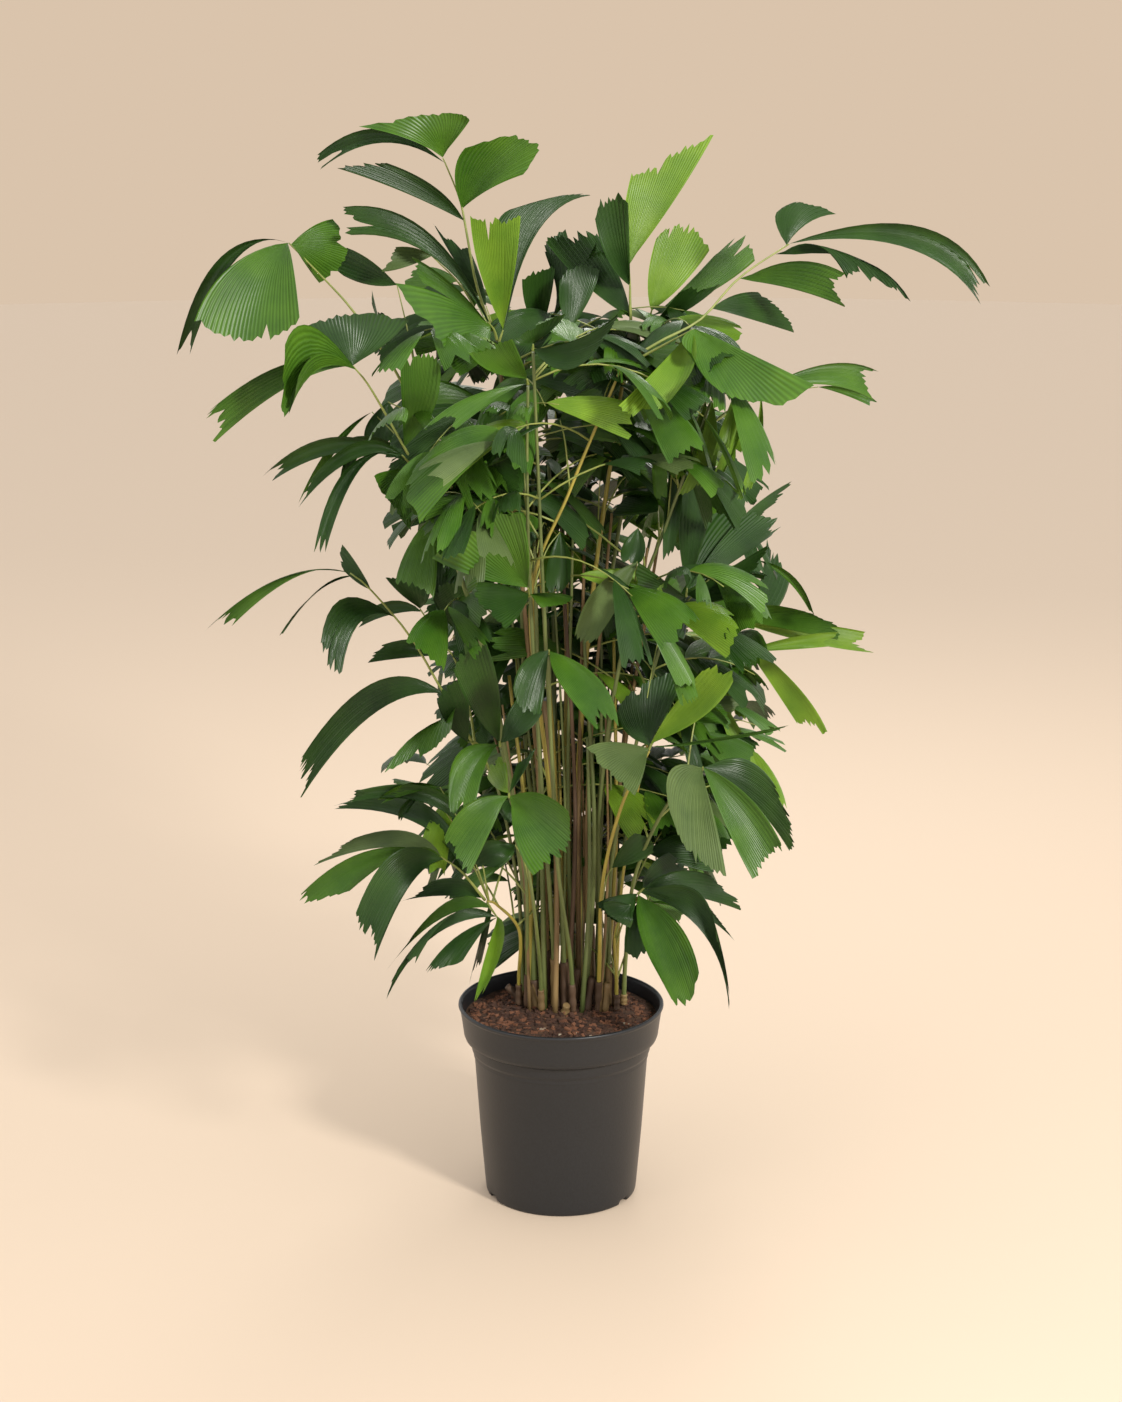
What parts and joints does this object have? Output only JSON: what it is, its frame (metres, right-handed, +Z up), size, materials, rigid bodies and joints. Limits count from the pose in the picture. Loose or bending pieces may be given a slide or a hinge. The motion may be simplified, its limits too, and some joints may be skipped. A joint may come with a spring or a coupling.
{
  "type": "potted fishtail palm",
  "caption": "Clump-forming fishtail palm with slender green stalks and ragged wedge-shaped leaflets, in a round dark grey nursery pot with a tall collar.",
  "frame": {"origin": "centre of the pot's flat underside, where it stands on the floor", "axes": "+Z up; +X to the right and -Y towards the viewer as the plant was pictured"},
  "size_m": [1.2546, 1.1308, 1.7758],
  "materials": {
    "pot": "satin dark grey moulded plastic",
    "soil": "loose dark brown bark and peat mix",
    "stalk": "smooth green to tan living stalk",
    "frond": "glossy green leaf blades"
  },
  "bodies": {
    "root": {"frond_back_left": "frond", "frond_back_mid": "frond", "frond_back_right": "frond", "frond_centre_bright": "frond", "frond_centre_dark": "frond", "frond_centre_face": "frond", "frond_centre_fore": "frond", "frond_crown_tip": "frond", "frond_fore_left": "frond", "frond_fore_right": "frond", "frond_left_arch": "frond", "frond_left_bright": "frond", "frond_left_drape": "frond", "frond_left_fan": "frond", "frond_left_foot": "frond", "frond_left_mid": "frond", "frond_left_pair": "frond", "frond_left_skirt": "frond", "frond_left_strap": "frond", "frond_left_thin": "frond", "frond_right_arm": "frond", "frond_right_fan": "frond", "frond_right_foot": "frond", "frond_right_fore": "frond", "frond_right_gloss": "frond", "frond_right_hang": "frond", "frond_right_low": "frond", "frond_right_mid": "frond", "frond_right_tall": "frond", "frond_right_wide": "frond", "pot": "pot", "soil": "soil", "stalk_back_left": "stalk", "stalk_back_mid": "stalk", "stalk_back_right": "stalk", "stalk_centre_back": "stalk", "stalk_centre_bright": "stalk", "stalk_centre_fore": "stalk", "stalk_crown_tip": "stalk", "stalk_fore_left": "stalk", "stalk_fore_right": "stalk", "stalk_left_drape": "stalk", "stalk_left_foot": "stalk", "stalk_left_fore": "stalk", "stalk_left_high": "stalk", "stalk_left_mid": "stalk", "stalk_left_pair": "stalk", "stalk_right_foot": "stalk", "stalk_right_fore": "stalk", "stalk_right_gloss": "stalk", "stalk_right_hang": "stalk", "stalk_right_low": "stalk", "stalk_right_mid": "stalk", "stalk_right_tall": "stalk", "stalk_right_wide": "stalk", "stalk_yellow": "stalk"}
  },
  "joints": []
}
